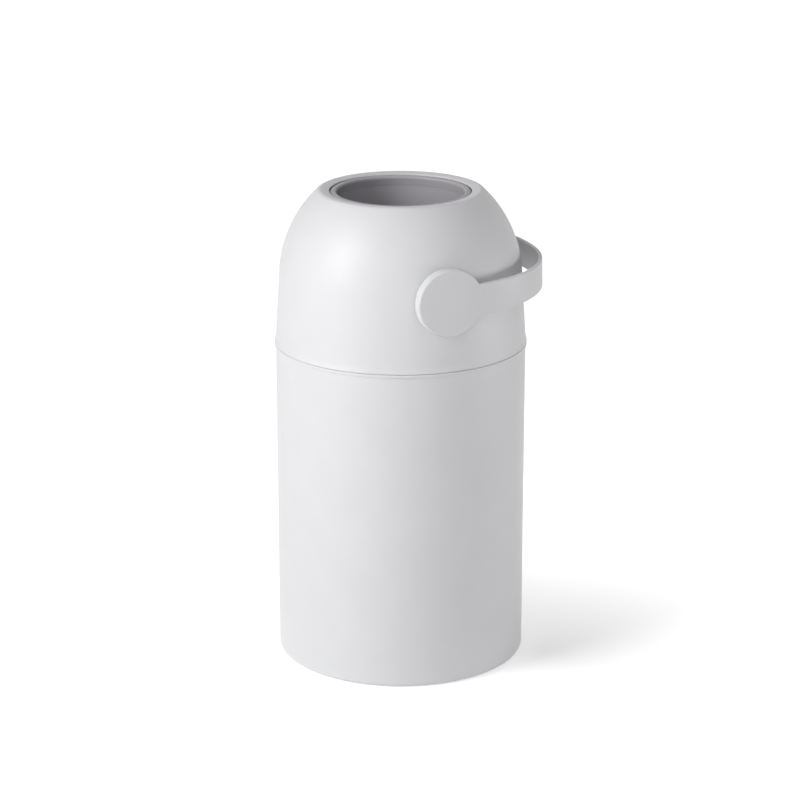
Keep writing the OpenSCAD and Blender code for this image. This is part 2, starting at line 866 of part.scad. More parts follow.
body_shell();
base_pan();
foot_ring();
collar_ring();
collar_seal();
bag_ring();
head_shell();
drum_housing();
housing_screws();
mouth_seal();
outlet_seal();
bush_front();
bush_rear();
well_tube();
rim_ring_top();
rim_ring_bottom();
drum_shell_left();
drum_shell_right();
trunnion_front();
trunnion_rear();
trunnion_screws();
handle();
handle_screws();
piston_plate_top();
piston_plate_bottom();
piston_wiper();
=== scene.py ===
# %% [markdown]
# # A nappy bin around its CAD frame
# The imported CAD model is loaded as a frame that never moves: five bodies, joined by the
# lift of the head, the lift of the bag ring, the turn of the drum and the slide of the
# piston. Every piece made below rides on one of those bodies. Loading comes first. The
# finished looks must stay the same size.

# %% Load the frame
import math

import bpy
from mathutils import Matrix, Vector


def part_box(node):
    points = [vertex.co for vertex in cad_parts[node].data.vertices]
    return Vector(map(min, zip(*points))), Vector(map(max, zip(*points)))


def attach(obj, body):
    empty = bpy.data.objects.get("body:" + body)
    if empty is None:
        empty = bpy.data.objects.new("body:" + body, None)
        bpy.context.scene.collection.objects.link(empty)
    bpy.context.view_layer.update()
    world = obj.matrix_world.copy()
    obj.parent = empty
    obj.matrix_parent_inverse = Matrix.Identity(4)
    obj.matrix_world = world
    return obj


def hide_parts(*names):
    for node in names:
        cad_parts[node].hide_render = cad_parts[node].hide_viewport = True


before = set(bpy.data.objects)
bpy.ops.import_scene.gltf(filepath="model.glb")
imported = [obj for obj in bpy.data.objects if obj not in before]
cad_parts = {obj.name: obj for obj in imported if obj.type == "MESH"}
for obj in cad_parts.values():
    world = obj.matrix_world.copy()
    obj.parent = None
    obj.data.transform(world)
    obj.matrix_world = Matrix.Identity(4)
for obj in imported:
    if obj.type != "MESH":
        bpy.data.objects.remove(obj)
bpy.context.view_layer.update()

# %% [markdown]
# ## Sizes
# Blender works in metres here and a bin is drawn in millimetres, so every size is written
# in millimetres and multiplied by MM where a point is made. The sizes that several pieces
# share come first. They are those of the CAD source, and two of them are compared with the
# boxes of the CAD nodes, so that a change of the frame shows up at once.

# %% Shared sizes in millimetres
MM = 0.001
BODY_R = 140.25        # sheet steel body, outside
BODY_TOP = 362.2       # where the collar band starts
SHEET = 1.0            # thickness of the steel sheet
HEAD_Z = 365.8         # foot of the moulded head
BAND_R = 141.65        # collar band and lip of the head
PIVOT_Z = 445.0        # the drum turns about this height
TUBE_RISE = 87.973     # half length of the well tube
HUB_R = 37.4
HUB_BACK = 138.496     # back of the hubs, from the axis of the body
HUB_OUT = 149.496      # face of the hubs
SCREW_HOLE_R = 2.05    # pilot hole for a screw

for node, size in (("body_shell", 2 * BODY_R), ("handle", 2 * HUB_OUT)):
    low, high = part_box(node)
    print(node, "is", round((high.y - low.y) / MM, 2), "mm across, drawn as", size)

# %% [markdown]
# ## Small helpers for materials
# Colours are picked as sRGB hex codes, as in any paint program, but a shader works with
# linear light, so one function converts them. Another adds a node with its settings and
# its links in one go, which keeps each material short enough to read as a recipe.

# %% Colour and node helpers
def linear(code):
    """The linear RGBA colour of an sRGB hex code."""
    parts = [int(code[i:i + 2], 16) / 255 for i in (1, 3, 5)]
    return [c / 12.92 if c <= 0.04045 else ((c + 0.055) / 1.055) ** 2.4 for c in parts] + [1.0]


def add_node(tree, kind, inputs=None, **settings):
    """Adds a node. An input is given a value, or the output of another node."""
    node = tree.nodes.new(kind)
    for name, value in settings.items():
        setattr(node, name, value)
    for name, value in (inputs or {}).items():
        if isinstance(value, bpy.types.NodeSocket):
            tree.links.new(value, node.inputs[name])
        else:
            node.inputs[name].default_value = value
    return node


def start_material(name, **constants):
    """A new material: its tree, its shader with the constant inputs set, and coordinates."""
    material = bpy.data.materials.new(name)
    material.use_nodes = True
    tree = material.node_tree
    shader = tree.nodes["Principled BSDF"]
    for socket, value in constants.items():
        shader.inputs[socket.replace("_", " ")].default_value = value
    place = add_node(tree, "ShaderNodeTexCoord").outputs["Object"]
    print("material:", name)
    return material, tree, shader, place


print("half grey #808080 in linear light:", round(linear("#808080")[0], 3))

# %% [markdown]
# ## What every finish shares
# No real surface has one flat colour. Each material below drifts between two close colours,
# its sheen wanders a little, and its relief goes in as bump. All three take their sizes in
# millimetres, so that they can be compared with the real surface.

# %% Drift of colour, drift of sheen, and relief
def tone(tree, shader, place, size, dark, light, detail=3.0):
    """Slow drift between two close colours, in patches of the given size, as the base colour."""
    cloud = add_node(tree, "ShaderNodeTexNoise",
                     {"Vector": place, "Scale": 1 / (size * MM), "Detail": detail, "Roughness": 0.5})
    ramp = add_node(tree, "ShaderNodeValToRGB", {"Fac": cloud.outputs["Fac"]})
    for stop, (position, code) in zip(ramp.color_ramp.elements, ((0.35, dark), (0.65, light))):
        stop.position = position
        stop.color = linear(code)
    tree.links.new(ramp.outputs["Color"], shader.inputs["Base Color"])


def sheen_drift(tree, shader, place, size, low, high):
    """Lets the roughness wander between two values, in patches of the given size."""
    patches = add_node(tree, "ShaderNodeTexNoise",
                       {"Vector": place, "Scale": 1 / (size * MM), "Detail": 4.0})
    spread = add_node(tree, "ShaderNodeMapRange",
                      {"Value": patches.outputs["Fac"], "From Min": 0.3, "From Max": 0.7,
                       "To Min": low, "To Max": high})
    tree.links.new(spread.outputs["Result"], shader.inputs["Roughness"])


def raise_surface(tree, shader, height, depth, before=None):
    """Bump of the given depth, on top of an earlier bump if there is one."""
    inputs = {"Height": height, "Distance": depth * MM, "Strength": 1.0}
    if before:
        inputs["Normal"] = before.outputs["Normal"]
    bump = add_node(tree, "ShaderNodeBump", inputs)
    tree.links.new(bump.outputs["Normal"], shader.inputs["Normal"])
    return bump


print("patches of 50 mm have a noise scale of", round(1 / (50 * MM), 2))

# %% [markdown]
# ## Powder coated steel
# The body is sheet steel with a white powder coat. The powder is baked until it flows, and
# it sets with a very shallow waviness, called orange peel, about 2 mm from crest to crest
# and some hundredths of a millimetre deep. A plain glossy shader looks like glass, so the
# waviness and a satin roughness go in as noise in real sizes.

# %% Powder coat
PEEL = 2.2             # from crest to crest
PEEL_DEPTH = 0.022
POWDER = 0.5           # ten times as coarse as real grains of powder, so that they show at all
POWDER_DEPTH = 0.003


def powder_coat():
    material, tree, shader, place = start_material("powder_coated_steel", IOR=1.5)
    tone(tree, shader, place, 50, "#E6E6E8", "#E8E8EA")
    sheen_drift(tree, shader, place, 30, 0.42, 0.46)
    peel = add_node(tree, "ShaderNodeTexNoise",
                    {"Vector": place, "Scale": 1 / (PEEL * MM), "Detail": 1.5, "Roughness": 0.4})
    wavy = raise_surface(tree, shader, peel.outputs["Fac"], PEEL_DEPTH)
    grains = add_node(tree, "ShaderNodeTexNoise", {"Vector": place, "Scale": 1 / (POWDER * MM)})
    raise_surface(tree, shader, grains.outputs["Fac"], POWDER_DEPTH, wavy)
    return material


steel_coat = powder_coat()

# %% [markdown]
# ## White moulded ABS
# The head, the collar and the handle are injection moulded. The tool is spark eroded, which
# leaves a fine satin grain of about 0.3 mm in the plastic. It takes the mirror out of the
# highlight and leaves the colour alone. A moulded wall also sinks a little as it cools, in
# shallow waves that bend the highlight.

# %% White moulding
SINK = 12              # from wave to wave
SINK_DEPTH = 0.030
ABS_GRAIN = 0.7        # over twice as coarse as the real grain, so that it shows from a step away
ABS_GRAIN_DEPTH = 0.005


def white_abs():
    material, tree, shader, place = start_material("white_abs_satin", IOR=1.53)
    tone(tree, shader, place, 60, "#E6E6E8", "#E8E8EA")
    sheen_drift(tree, shader, place, 18, 0.44, 0.48)
    waves = add_node(tree, "ShaderNodeTexNoise",
                     {"Vector": place, "Scale": 1 / (SINK * MM), "Detail": 1.0})
    soft = raise_surface(tree, shader, waves.outputs["Fac"], SINK_DEPTH)
    grain = add_node(tree, "ShaderNodeTexVoronoi",
                     {"Vector": place, "Scale": 1 / (ABS_GRAIN * MM)}, feature="SMOOTH_F1")
    raise_surface(tree, shader, grain.outputs["Distance"], ABS_GRAIN_DEPTH, soft)
    return material


head_white = white_abs()

# %% [markdown]
# ## Grey moulding
# The drum, its rim and the piston are moulded in a warm grey polypropylene. It is softer
# than ABS, so its sheen is duller, and its colour is drawn out upwards into faint streaks,
# the way the melt flowed.

# %% Grey moulding
STREAK = 0.35          # the coordinates shrink by this along Z, so the pattern is longer there
PP_GRAIN = 0.8
PP_GRAIN_DEPTH = 0.006


def grey_polypropylene():
    material, tree, shader, place = start_material("grey_polypropylene", IOR=1.49)
    flow = add_node(tree, "ShaderNodeMapping", {"Vector": place, "Scale": (1.0, 1.0, STREAK)})
    tone(tree, shader, flow.outputs["Vector"], 45, "#AEACB1", "#B3B1B6")
    sheen_drift(tree, shader, place, 20, 0.46, 0.54)
    grain = add_node(tree, "ShaderNodeTexVoronoi",
                     {"Vector": place, "Scale": 1 / (PP_GRAIN * MM)}, feature="SMOOTH_F1")
    raise_surface(tree, shader, grain.outputs["Distance"], PP_GRAIN_DEPTH)
    return material


drum_grey = grey_polypropylene()

# %% [markdown]
# ## Rubber
# The foot ring and the seals are EPDM rubber, pressed in a blasted tool. It is matt, and a
# little pale dust in its pores turns the black of the rubber to a dark grey.

# %% Rubber
PORE = 0.6
PORE_DEPTH = 0.04


def rubber():
    material, tree, shader, place = start_material("epdm_rubber", IOR=1.5)
    tone(tree, shader, place, 4, "#4A4A4D", "#565659", detail=6.0)
    sheen_drift(tree, shader, place, 6, 0.68, 0.80)
    pores = add_node(tree, "ShaderNodeTexNoise",
                     {"Vector": place, "Scale": 1 / (PORE * MM), "Detail": 3.0})
    raise_surface(tree, shader, pores.outputs["Fac"], PORE_DEPTH)
    return material


dark_rubber = rubber()

# %% [markdown]
# ## Zinc plated steel
# The pan under the bin and the screws are zinc plated. Zinc grows in small crystals that
# catch the light differently, so the plating looks like faint flakes, smaller on a screw.
# A pressing tool also leaves faint rings in the pan. They are too faint to see on a screw,
# so one recipe serves both.

# %% Zinc
RING_SCALE = 1 / (4 * MM)      # a wave node draws about three rings per unit: 1.3 mm apart
RING_DEPTH = 0.006


def zinc_plate(name, flake, dark, light, low, high):
    material, tree, shader, place = start_material(name, Metallic=1.0)
    crystals = add_node(tree, "ShaderNodeTexVoronoi", {"Vector": place, "Scale": 1 / (flake * MM)})
    ramp = add_node(tree, "ShaderNodeValToRGB", {"Fac": crystals.outputs["Color"]})
    for stop, code in zip(ramp.color_ramp.elements, (dark, light)):
        stop.color = linear(code)
    tree.links.new(ramp.outputs["Color"], shader.inputs["Base Color"])
    spread = add_node(tree, "ShaderNodeMapRange",
                      {"Value": crystals.outputs["Color"], "To Min": low, "To Max": high})
    tree.links.new(spread.outputs["Result"], shader.inputs["Roughness"])
    rings = add_node(tree, "ShaderNodeTexWave",
                     {"Vector": place, "Scale": RING_SCALE, "Distortion": 0.6},
                     wave_type="RINGS", rings_direction="Z")
    raise_surface(tree, shader, rings.outputs["Fac"], RING_DEPTH)
    return material


pan_zinc = zinc_plate("zinc_plated_pan", 6, "#B4B5B8", "#C6C7CA", 0.34, 0.44)
screw_zinc = zinc_plate("zinc_plated_screw", 1.2, "#B9BABD", "#CCCDD0", 0.26, 0.34)

# %% [markdown]
# ## Outlines
# Nearly every piece of this bin is round, so it starts as an outline in one plane. No
# moulded or pressed edge is sharp, so a corner is given with its rounding, and each
# rounding becomes a short arc.

# %% Outline helpers
def arc(centre, radius, start, end, steps):
    """Points on an arc from one angle to another, in degrees."""
    angles = [math.radians(start + (end - start) * i / steps) for i in range(steps + 1)]
    return [(centre[0] + radius * math.cos(a), centre[1] + radius * math.sin(a)) for a in angles]


def rounded(corners, steps=4):
    """Corners (x, y) stay as they are, and corners (x, y, rounding) become arcs."""
    points = []
    for i, corner in enumerate(corners):
        here = Vector(corner[:2])
        if len(corner) == 2:
            points.append(here)
            continue
        before = (Vector(corners[i - 1][:2]) - here).normalized()
        after = (Vector(corners[(i + 1) % len(corners)][:2]) - here).normalized()
        half = before.angle(after) / 2
        middle = here + (before + after).normalized() * corner[2] / math.sin(half)
        first = here + before * corner[2] / math.tan(half) - middle
        turn_by = first.angle_signed(here + after * corner[2] / math.tan(half) - middle)
        for k in range(steps + 1):
            points.append(middle + Matrix.Rotation(-turn_by * k / steps, 2) @ first)
    return points


square = [(0, 0, 1), (9, 0, 1), (9, 9, 1), (0, 9, 1)]
print("a square with rounded corners:", len(rounded(square)), "points")

# %% [markdown]
# ## Drawing and turning
# The main tool is a lathe. The outline is drawn as a person would do it, by extruding a
# single vertex from point to point, and then it is spun once round an axis.

# %% Lathe helpers
ROUND = 192            # faces round a turned piece
ROUND_WIDE = 256       # faces round the widest ones, and those that show most
SAME_POINT = 1e-6      # points closer than this, in metres, are merged


def deselect():
    """Leaves edit mode with nothing selected, so that an operator acts only on its piece."""
    if bpy.context.mode != "OBJECT":
        bpy.ops.object.mode_set(mode="OBJECT")
    bpy.ops.object.select_all(action="DESELECT")


def pick(piece):
    """Selects one piece alone and makes it the active one."""
    deselect()
    piece.select_set(True)
    bpy.context.view_layer.objects.active = piece


def draw(name, points, closed=True):
    """Draws a chain of edges by extruding one vertex, and stays in edit mode."""
    deselect()
    bpy.ops.mesh.primitive_plane_add(size=MM)
    piece = bpy.context.object
    piece.name = piece.data.name = name
    bpy.ops.object.mode_set(mode="EDIT")
    bpy.ops.mesh.merge(type="CENTER")
    bpy.ops.transform.translate(value=points[0])
    path = points + points[:1] if closed else points
    for here, there in zip(path, path[1:]):
        bpy.ops.mesh.extrude_region_move(TRANSFORM_OT_translate={"value": there - here})
    bpy.ops.mesh.select_all(action="SELECT")
    bpy.ops.mesh.remove_doubles(threshold=SAME_POINT)
    return piece


def turn(name, outline, steps=ROUND, closed=True, out=0):
    """A turned solid. The outline is (radius, height) round Z, or (radius, reach) along -Y
    from the pivot where out is 1, and along +Y where it is -1."""
    pivot = Vector((0, 0, PIVOT_Z * MM)) if out else Vector((0, 0, 0))
    along = Vector((0, -out, 0)) if out else Vector((0, 0, 1))
    piece = draw(name, [pivot + (Vector((r, 0, 0)) + along * h) * MM for r, h in outline], closed)
    bpy.ops.mesh.spin(steps=steps, angle=math.tau, center=pivot, axis=along)
    bpy.ops.mesh.select_all(action="SELECT")
    bpy.ops.mesh.remove_doubles(threshold=2 * SAME_POINT)
    bpy.ops.mesh.normals_make_consistent(inside=False)
    bpy.ops.object.mode_set(mode="OBJECT")
    return piece


print("on the body, a face is", round(math.tau * BODY_R / ROUND_WIDE, 2), "mm wide")

# %% [markdown]
# ## Finishing a piece
# Every piece ends the same way: its round faces are shaded smoothly while its edges stay
# crisp, it gets its material, and it takes the place of its CAD nodes on their body.

# %% Finishing helpers
def finish_piece(piece, material, body, slot, *nodes, sharp=32):
    """Smooths a piece, gives it its material, and seats it on its body in place of its nodes."""
    pick(piece)
    bpy.ops.object.shade_smooth_by_angle(angle=math.radians(sharp))
    piece.data.materials.clear()
    piece.data.materials.append(material)
    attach(piece, body)
    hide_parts(*nodes)
    print(f"{piece.name}: {len(piece.data.polygons)} faces on {body}")


def combine(piece, other, operation):
    """Joins two solids or cuts one with the other, and applies it."""
    pick(piece)
    bpy.ops.object.modifier_add(type="BOOLEAN")
    boolean = piece.modifiers[-1]
    boolean.object = other
    boolean.operation = operation
    boolean.solver = "EXACT"
    bpy.ops.object.modifier_apply(modifier=boolean.name)
    bpy.data.objects.remove(other)


# %% [markdown]
# ## Copies of the CAD pieces
# Pieces inside the head have the right shape already. Their CAD meshes are loose triangles,
# each with its own corners, so they can't be smoothed as they are, and the frame may not be
# changed. A copy is merged, smoothed by angle, and stands in for its node.

# %% Smooth copies
def smooth_copy(node, name, material, body, slot):
    """A merged and smoothed copy of a CAD node, in its place."""
    pick(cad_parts[node])
    bpy.ops.object.duplicate()
    piece = bpy.context.object
    piece.parent = None
    piece.name = piece.data.name = name
    for key in list(piece.keys()):     # the marks of the frame stay with the node
        del piece[key]
    bpy.ops.object.mode_set(mode="EDIT")
    bpy.ops.mesh.select_all(action="SELECT")
    bpy.ops.mesh.remove_doubles(threshold=SAME_POINT)
    bpy.ops.mesh.customdata_custom_splitnormals_clear()
    bpy.ops.object.mode_set(mode="OBJECT")
    finish_piece(piece, material, body, slot, node, sharp=30)


# %% [markdown]
# ## Foot ring
# The bin stands on a rubber ring inside the turned-in edge of its wall. Two grooves run
# round its sole, as on most such rings, so that it grips a wet floor.

# %% Foot ring
FOOT_IN = 121.75
FOOT_OUT = 130.75
FOOT_H = 2.5
GROOVE_W = 1.2
GROOVE_DEEP = 0.5
foot = [(FOOT_IN, 0, 0.6)]
for inner in (124.2, 127.1):
    outer = inner + GROOVE_W
    foot += [(inner, 0, 0.15), (inner, GROOVE_DEEP, 0.2), (outer, GROOVE_DEEP, 0.2), (outer, 0, 0.15)]
foot += [(FOOT_OUT, 0, 0.6), (FOOT_OUT, FOOT_H), (FOOT_IN, FOOT_H)]
finish_piece(turn("foot_ring_rubber", rounded(foot, 3)), dark_rubber, "bin", "rubber", "foot_ring")

# %% [markdown]
# ## Base pan
# The floor of the bin is a pan pressed from steel sheet, 1 mm thick. Its middle is raised,
# ring beads stiffen it, and a standing rim fits inside the wall. The outline follows the
# sheet, so each bead is a bump above and a groove below.

# %% Base pan
PAN_R = 139.2
PAN_RIM_TOP = 14.5
TRAY_Z = 2.5           # underside of the low ring along the rim
RAISED_Z = 6.5         # underside of the raised middle
RAISED_R = 115.75
BEAD_Z = 5.0           # middle of a bead's arc
BEAD_R = 3.0
pan_under = [(PAN_R, PAN_RIM_TOP, 0.3), (PAN_R, 5.6, 1.5), (136.4, TRAY_Z, 1.5),
             (118.35, TRAY_Z, 1.2), (115.35, RAISED_Z, 1.2)]
pan_over = [(115.7, RAISED_Z + SHEET, 1.5), (118.8, TRAY_Z + SHEET, 0.8), (136.0, TRAY_Z + SHEET, 0.8),
            (PAN_R - SHEET, 5.9, 0.8), (PAN_R - SHEET, PAN_RIM_TOP, 0.3)]
beads = [RAISED_R * k / 4 for k in (1, 2, 3)]
under_beads = [p for r in reversed(beads) for p in arc((r, BEAD_Z), BEAD_R, 30, 150, 8)]
over_beads = [p for r in beads for p in arc((r, BEAD_Z), BEAD_R + SHEET, 141.3, 38.7, 8)]
pan_top = [Vector((0, RAISED_Z + SHEET))] + [Vector(p) for p in over_beads] + rounded(pan_over, 3)
pan_foot = rounded(pan_under, 3) + [Vector(p) for p in under_beads] + [Vector((0, RAISED_Z))]
pan = turn("base_pan_pressed", pan_top + pan_foot, closed=False)
finish_piece(pan, pan_zinc, "bin", "pan_steel", "base_pan")

# %% [markdown]
# ## Body wall
# The wall is one steel sheet, rolled into a tube. Its foot is rolled inwards with a radius
# of 5 mm, and turned in to a narrow rim that carries the pan. The outline has a point
# every 40 mm up the wall, so that no face is long and thin.

# %% Body wall
WALL_IN = BODY_R - SHEET
WALL_FOOT = 1.5
WALL_ROLL = 5.0
TURNED_IN = 131.25     # inner edge of the turned-in rim
wall_rows = [40 * k for k in range(1, 9)]
wall = ([(BODY_R, BODY_TOP, 0.3)] + [(BODY_R, z) for z in reversed(wall_rows)]
        + [(BODY_R, WALL_FOOT, WALL_ROLL), (TURNED_IN, WALL_FOOT, 0.4),
           (TURNED_IN, WALL_FOOT + SHEET, 0.4), (WALL_IN, WALL_FOOT + SHEET, WALL_ROLL - SHEET)]
        + [(WALL_IN, z) for z in wall_rows] + [(WALL_IN, BODY_TOP, 0.3)])
body_wall = turn("body_wall", rounded(wall, 8), ROUND_WIDE)
finish_piece(body_wall, steel_coat, "bin", "body_enamel", "body_shell")

# %% [markdown]
# ## Collar
# A moulded collar sits in the top of the wall. Its band shows outside as the narrow ring
# between two seams, its spigot locates the head, and its ledge inside carries the bag ring.
# A groove round the spigot holds the rubber cord that seals the head.

# %% Collar and its seal
COLLAR_R = 139.2       # where it sits in the wall
LEDGE_IN = 123.4
LEDGE_Z = 348.2
LEDGE_TOP = 350.7
SPIGOT_IN = 133.4
SPIGOT_OUT = 136.6
SPIGOT_TOP = 377.8
groove = arc((136.2, 371.3), 1.35, -72.8, -287.2, 14)
collar = [(SPIGOT_IN, LEDGE_TOP, 0.8), (LEDGE_IN, LEDGE_TOP, 0.7), (LEDGE_IN, LEDGE_Z, 0.7),
          (COLLAR_R, LEDGE_Z, 0.9), (COLLAR_R, BODY_TOP, 0.2), (BAND_R, BODY_TOP, 0.7),
          (BAND_R, HEAD_Z, 0.7), (SPIGOT_OUT, HEAD_Z, 0.4)]
collar = rounded(collar + [groove[0]])[:-1] + [Vector(p) for p in groove]
spigot = rounded([groove[-1], (SPIGOT_OUT, SPIGOT_TOP, 1.2), (SPIGOT_IN, SPIGOT_TOP, 0.8),
                  (SPIGOT_IN, LEDGE_TOP)])[1:-1]
collar_piece = turn("collar_moulding", collar + spigot, ROUND_WIDE)
finish_piece(collar_piece, head_white, "bin", "white_moulding", "collar_ring")
smooth_copy("collar_seal", "collar_cord", dark_rubber, "bin", "rubber")

# %% [markdown]
# ## Bag ring
# The ring that holds the edge of a bin bag is an open channel with two finger tabs.

# %% Bag ring
smooth_copy("bag_ring", "bag_ring_moulding", drum_grey, "bag_ring", "grey_moulding")

# %% [markdown]
# ## Head
# The head is one moulding: a lip that flares out over the collar, a skirt with a little
# draft, a dome, and a crown that rolls over into the mouth and falls towards it. The outer
# and inner faces are one closed outline, so the wall has its real thickness everywhere.
# What isn't round, such as the bosses for the pivots and the posts for the screws, is made
# apart and joined on with a boolean.

# %% Head wall
SKIRT_IN = 137.85
SKIRT_STEP = 372       # the flared lip ends here
DOME_Z = 438.0         # middle of the dome's arc
DOME_OUT = 135.8
DOME_IN = 133.4
CROWN = (88.49, PIVOT_Z + 86.59)       # middle of the arc that rolls the crown over
CROWN_R = 7.0
CROWN_TOP = PIVOT_Z + 92.158
DOME_START = 3.672     # degrees, where the skirt meets the dome's arc
DOME_END = 46.6        # degrees, where the dome's arc goes over into the crown's
CROWN_END = 99.1       # degrees, past the highest point and on the way down to the mouth
MOUTH_R = 79.0
MOUTH_FOOT = PIVOT_Z + 90.86
SEAT_TOP = PIVOT_Z + 87.958            # the seat of the mouth seal, and its outer wall
SEAT_FOOT = PIVOT_Z + 81.56
SEAT_IN = 91.35
SEAT_OUT = 93.35
outside = rounded([(SKIRT_IN, HEAD_Z + 3), (BAND_R, HEAD_Z, 0.5), (BAND_R, HEAD_Z + 0.9, 0.3),
                   (BODY_R, SKIRT_STEP, 14), (135.521, 446.7)], 6)[1:]
dome = arc((0, DOME_Z), DOME_OUT, DOME_START, DOME_END, 64)
dome += arc(CROWN, CROWN_R, DOME_END, CROWN_END, 20)[1:]
lip = rounded([dome[-1], (MOUTH_R, CROWN_TOP, 0.45), (MOUTH_R, MOUTH_FOOT, 0.2),
               (82.21, SEAT_TOP), (SEAT_IN, SEAT_TOP), (SEAT_IN, SEAT_FOOT, 0.4),
               (SEAT_OUT, SEAT_FOOT, 0.4), (SEAT_OUT, 533.29)], 5)[1:]
inside = arc((0, DOME_Z), DOME_IN, 45.3, 3.74, 40) + [(SKIRT_IN, SKIRT_STEP)]
foot_in = rounded([(SKIRT_IN, SKIRT_STEP), (SKIRT_IN, HEAD_Z + 0.8), (138.65, HEAD_Z)])[1:]
section = [Vector(p) for p in [*outside[:-1], *dome, *lip, *inside, *foot_in]]
head = turn("head_moulding", section, ROUND_WIDE)
print("head wall:", len(section), "points in its outline")

# %% [markdown]
# ## Bars and blocks
# The bosses, posts and ribs inside the head are plain bars and blocks with soft edges. A bar
# is turned like everything else, and a block is a cube with a small bevel.

# %% Bars and blocks
def rod(name, radius, low, high, out=0, at=None, soft=0.4, steps=48):
    """A round bar with softened ends: along Z at a place, or along -Y or +Y from the pivot."""
    outline = rounded([(0, low), (radius, low, soft), (radius, high, soft), (0, high)], 3)
    piece = turn(name, outline, steps, closed=False, out=out)
    if at:
        pick(piece)
        bpy.ops.transform.translate(value=Vector(at) * MM)
        bpy.ops.object.transform_apply(location=True)
    return piece


def block(name, size, centre, spin=0, tilt=0):
    """A bar with bevelled edges, at its centre, tilted about Y and turned about Z."""
    deselect()
    bpy.ops.mesh.primitive_cube_add(size=MM)
    piece = bpy.context.object
    piece.name = piece.data.name = name
    piece.scale = size
    bpy.ops.object.transform_apply(scale=True)
    bpy.ops.object.modifier_add(type="BEVEL")
    bevel = piece.modifiers[-1]
    bevel.width = 0.3 * MM
    bevel.segments = 2
    bpy.ops.object.modifier_apply(modifier=bevel.name)
    piece.location = Vector(centre) * MM
    piece.rotation_euler = (0, tilt, spin)
    bpy.ops.object.transform_apply(location=True, rotation=True)
    return piece


def join(pieces):
    """One object from several solids that don't touch, or that overlap cleanly."""
    pick(pieces[0])
    for piece in pieces:
        piece.select_set(True)
    bpy.ops.object.join()
    return pieces[0]


# %% [markdown]
# ## Bosses and posts inside the head
# Each pivot runs in a bush in a stout boss, and six posts take the screws of the housing.
# A post is joined to the wall by a rib, because a post moulded right against the wall
# would leave a dent outside. Two short ribs beside each boss are the end stops of the drum.

# %% Bosses, posts and bores
BOSS_R = 20
BOSS_IN = 123.996      # ends of a boss, from the axis of the body
BOSS_OUT = 137.996
BORE_R = 13            # the bush sits in this bore
BORE_IN = 122          # the cutter is longer than the boss at both ends
BORE_OUT = 140
POST_R = 4.5
POST_FOOT = 393.0      # the flange of the housing meets the posts here
POST_TOP = 425
POST_CIRCLE = 127.02   # the posts stand on this radius
RIB_SIZE = (9, 2.4, 31.6)
RIB_CIRCLE = 131.5
RIB_Z = 409.2          # middle of a rib
STOP_ANGLE = math.radians(19.6)
STOP_REACH = 23.85     # from the pivot's axis to the middle of a stop rib
STOP_SIZE = (6.5, 12.8, 5)
STOP_Y = 126.5
sides = (1, -1)
bosses = [rod("boss", BOSS_R, BOSS_IN, BOSS_OUT, out) for out in sides]
bores = [rod("bore", BORE_R, BORE_IN, BORE_OUT, out, soft=0.1) for out in sides]
posts, ribs, pilots = [], [], []
for k in range(6):
    a = math.radians(60 * k)
    around = Vector((math.cos(a), math.sin(a), 0))
    middle = around * POST_CIRCLE
    posts.append(rod("post", POST_R, POST_FOOT, POST_TOP, at=middle))
    pilots.append(rod("pilot", SCREW_HOLE_R, POST_FOOT - 1, POST_FOOT + 17, at=middle, soft=0.1, steps=24))
    ribs.append(block("rib", RIB_SIZE, around * RIB_CIRCLE + Vector((0, 0, RIB_Z)), spin=a))
for side in sides:
    for out in sides:
        middle = (side * STOP_REACH * math.cos(STOP_ANGLE), -out * STOP_Y,
                  PIVOT_Z - STOP_REACH * math.sin(STOP_ANGLE))
        ribs.append(block("stop", STOP_SIZE, middle, tilt=side * STOP_ANGLE))
combine(head, join(bosses + posts), "UNION")
combine(head, join(ribs), "UNION")
combine(head, join(bores + pilots), "DIFFERENCE")
finish_piece(head, head_white, "head", "white_moulding", "head_shell")

# %% [markdown]
# ## Inside the head
# The housing is the cup around the lower half of the drum. It is screwed to the posts, and
# its outlet has the same seal as the mouth. The pivots run in two grey bushes.

# %% Housing, seals and bushes
smooth_copy("drum_housing", "housing_moulding", head_white, "head", "white_moulding")
smooth_copy("housing_screws", "housing_screw_set", screw_zinc, "head", "screw_steel")
for end in ("mouth", "outlet"):
    smooth_copy(f"{end}_seal", f"{end}_seal_ring", dark_rubber, "head", "rubber")
for end in ("front", "rear"):
    smooth_copy(f"bush_{end}", f"bush_{end}_moulding", drum_grey, "head", "grey_moulding")

# %% [markdown]
# ## Rim rings
# A grey ring caps each end of the well. Its inner edge is rolled over with a large radius
# for the hand that pushes a nappy in, and its outer edge is tighter, beside the thin gap
# to the white mouth. Both are turned from one outline, and the lower one is its mirror.

# %% Rim rings
RIM_R = 77.8
RIM_IN = 71.0
RIM_TOP = 91.97        # from the pivot, as all heights of the rim are
SLEEVE_FOOT = 84.0     # a short sleeve holds the ring round the tube
SLEEVE_OUT = 76.95
SLEEVE_IN = 75.05
rim = [(RIM_IN, TUBE_RISE), (RIM_IN, RIM_TOP, 2.6), (RIM_R, RIM_TOP - 0.7, 1.4), (RIM_R, TUBE_RISE, 0.2),
       (SLEEVE_OUT, TUBE_RISE), (SLEEVE_OUT, SLEEVE_FOOT, 0.4),
       (SLEEVE_IN, SLEEVE_FOOT, 0.4), (SLEEVE_IN, TUBE_RISE)]
for end, sign in (("top", 1), ("bottom", -1)):
    ring = [Vector((r, PIVOT_Z + sign * h)) for r, h in rounded(rim, 8)]
    ring_piece = turn(f"rim_{end}", ring, ROUND_WIDE)
    finish_piece(ring_piece, drum_grey, "drum", "grey_moulding", f"rim_ring_{end}")

# %% [markdown]
# ## Well
# The tube that the nappy is pushed into is smooth inside, and narrows a little at each end,
# where the piston comes to rest.

